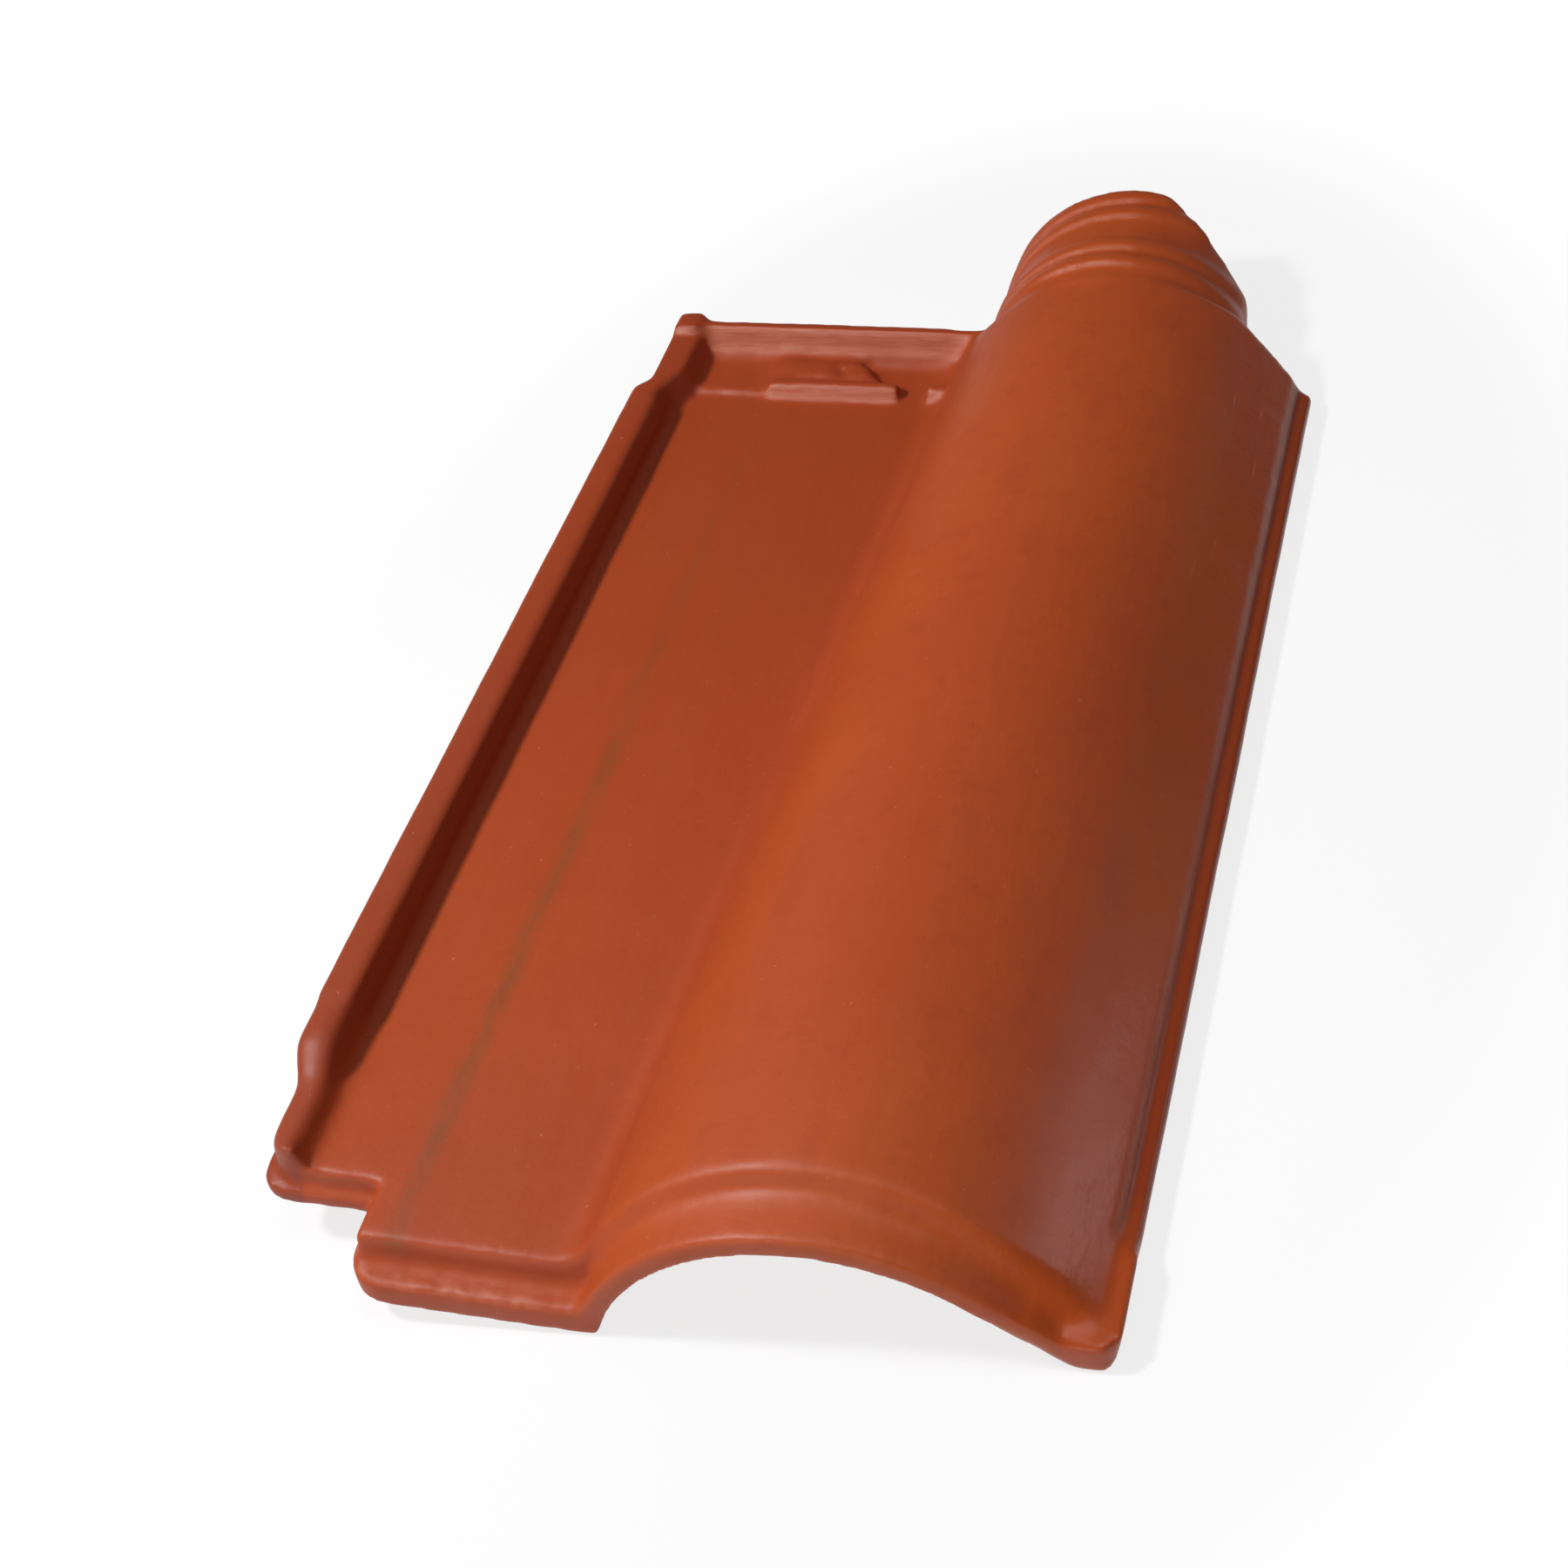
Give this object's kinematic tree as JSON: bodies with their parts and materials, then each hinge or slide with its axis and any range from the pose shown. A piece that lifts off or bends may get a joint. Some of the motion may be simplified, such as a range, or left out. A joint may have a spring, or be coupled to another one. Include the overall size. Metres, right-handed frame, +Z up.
{
  "type": "clay roof tile",
  "caption": "Interlocking fired-clay roof tile: flat water pan with a side rim, tapering barrel, stepped front lip and a ringed neck that slips under the next tile.",
  "frame": {"origin": "bottom centre of the bounding box, on the floor the tile rests on", "axes": "+Y along the tile from the front lip to the neck, +X across from the side rim to the barrel's low edge, +Z up as it lies"},
  "size_m": [0.2106, 0.411, 0.0452],
  "materials": {
    "clay": "satin"
  },
  "bodies": {
    "root": {"roof_tile": "clay"}
  },
  "joints": []
}
